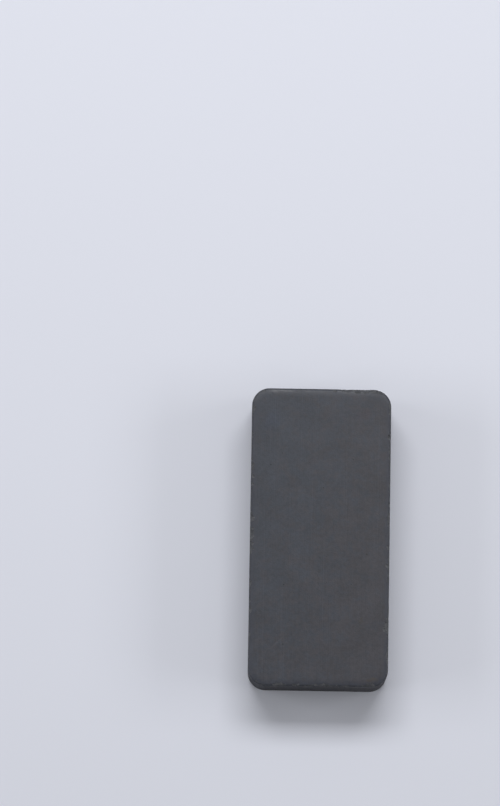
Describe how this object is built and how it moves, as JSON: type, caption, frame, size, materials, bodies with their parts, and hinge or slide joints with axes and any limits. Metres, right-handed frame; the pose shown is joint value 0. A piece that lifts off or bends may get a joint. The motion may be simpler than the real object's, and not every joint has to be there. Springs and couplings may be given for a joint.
{
  "type": "block magnet",
  "caption": "Rectangular block magnet of sintered ferrite, flat on both pole faces, with rounded upright corners and chipped rims.",
  "frame": {"origin": "middle of the pole face that the block lies on", "axes": "+X across the width, +Y along the length, +Z through the thickness, which is the way it is magnetised"},
  "size_m": [0.0222, 0.0476, 0.0095],
  "materials": {
    "ferrite": "matte"
  },
  "bodies": {
    "root": {"magnet_block": "ferrite"}
  },
  "joints": []
}
